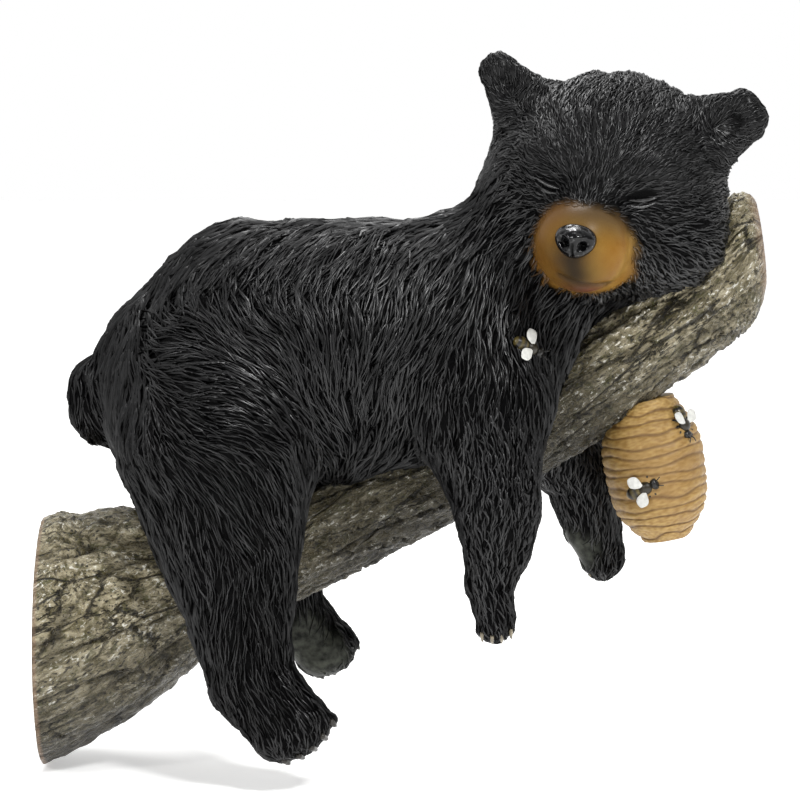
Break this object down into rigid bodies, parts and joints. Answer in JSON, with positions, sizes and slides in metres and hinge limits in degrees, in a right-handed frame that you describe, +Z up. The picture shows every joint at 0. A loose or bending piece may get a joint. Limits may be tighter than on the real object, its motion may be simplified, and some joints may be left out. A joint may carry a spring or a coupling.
{
  "type": "sleeping bear cub branch ornament",
  "caption": "Bear cub asleep along a sloping cut branch, with bees and a hive hung under it; a cast garden ornament fixed to a trunk or wall by the branch's flat butt.",
  "frame": {"origin": "on the flat butt face of the branch, at its middle", "axes": "+X runs out along the branch, square to the butt face; -Y is the side the cub's face looks to; +Z is up"},
  "size_m": [0.3323, 0.1664, 0.3297],
  "materials": {
    "fur": "painted resin, satin charcoal black with a tan muzzle",
    "bark": "painted resin, grey-brown with dry-brushed ridges",
    "straw": "painted resin, ochre with brown grooves",
    "bee": "painted resin, gloss black with off-white wings"
  },
  "bodies": {
    "root": {"bear_cub": "fur", "branch": "bark", "beehive": "straw", "bee_on_chest": "bee", "bee_on_hive_top": "bee", "bee_on_hive_side": "bee"}
  },
  "joints": []
}
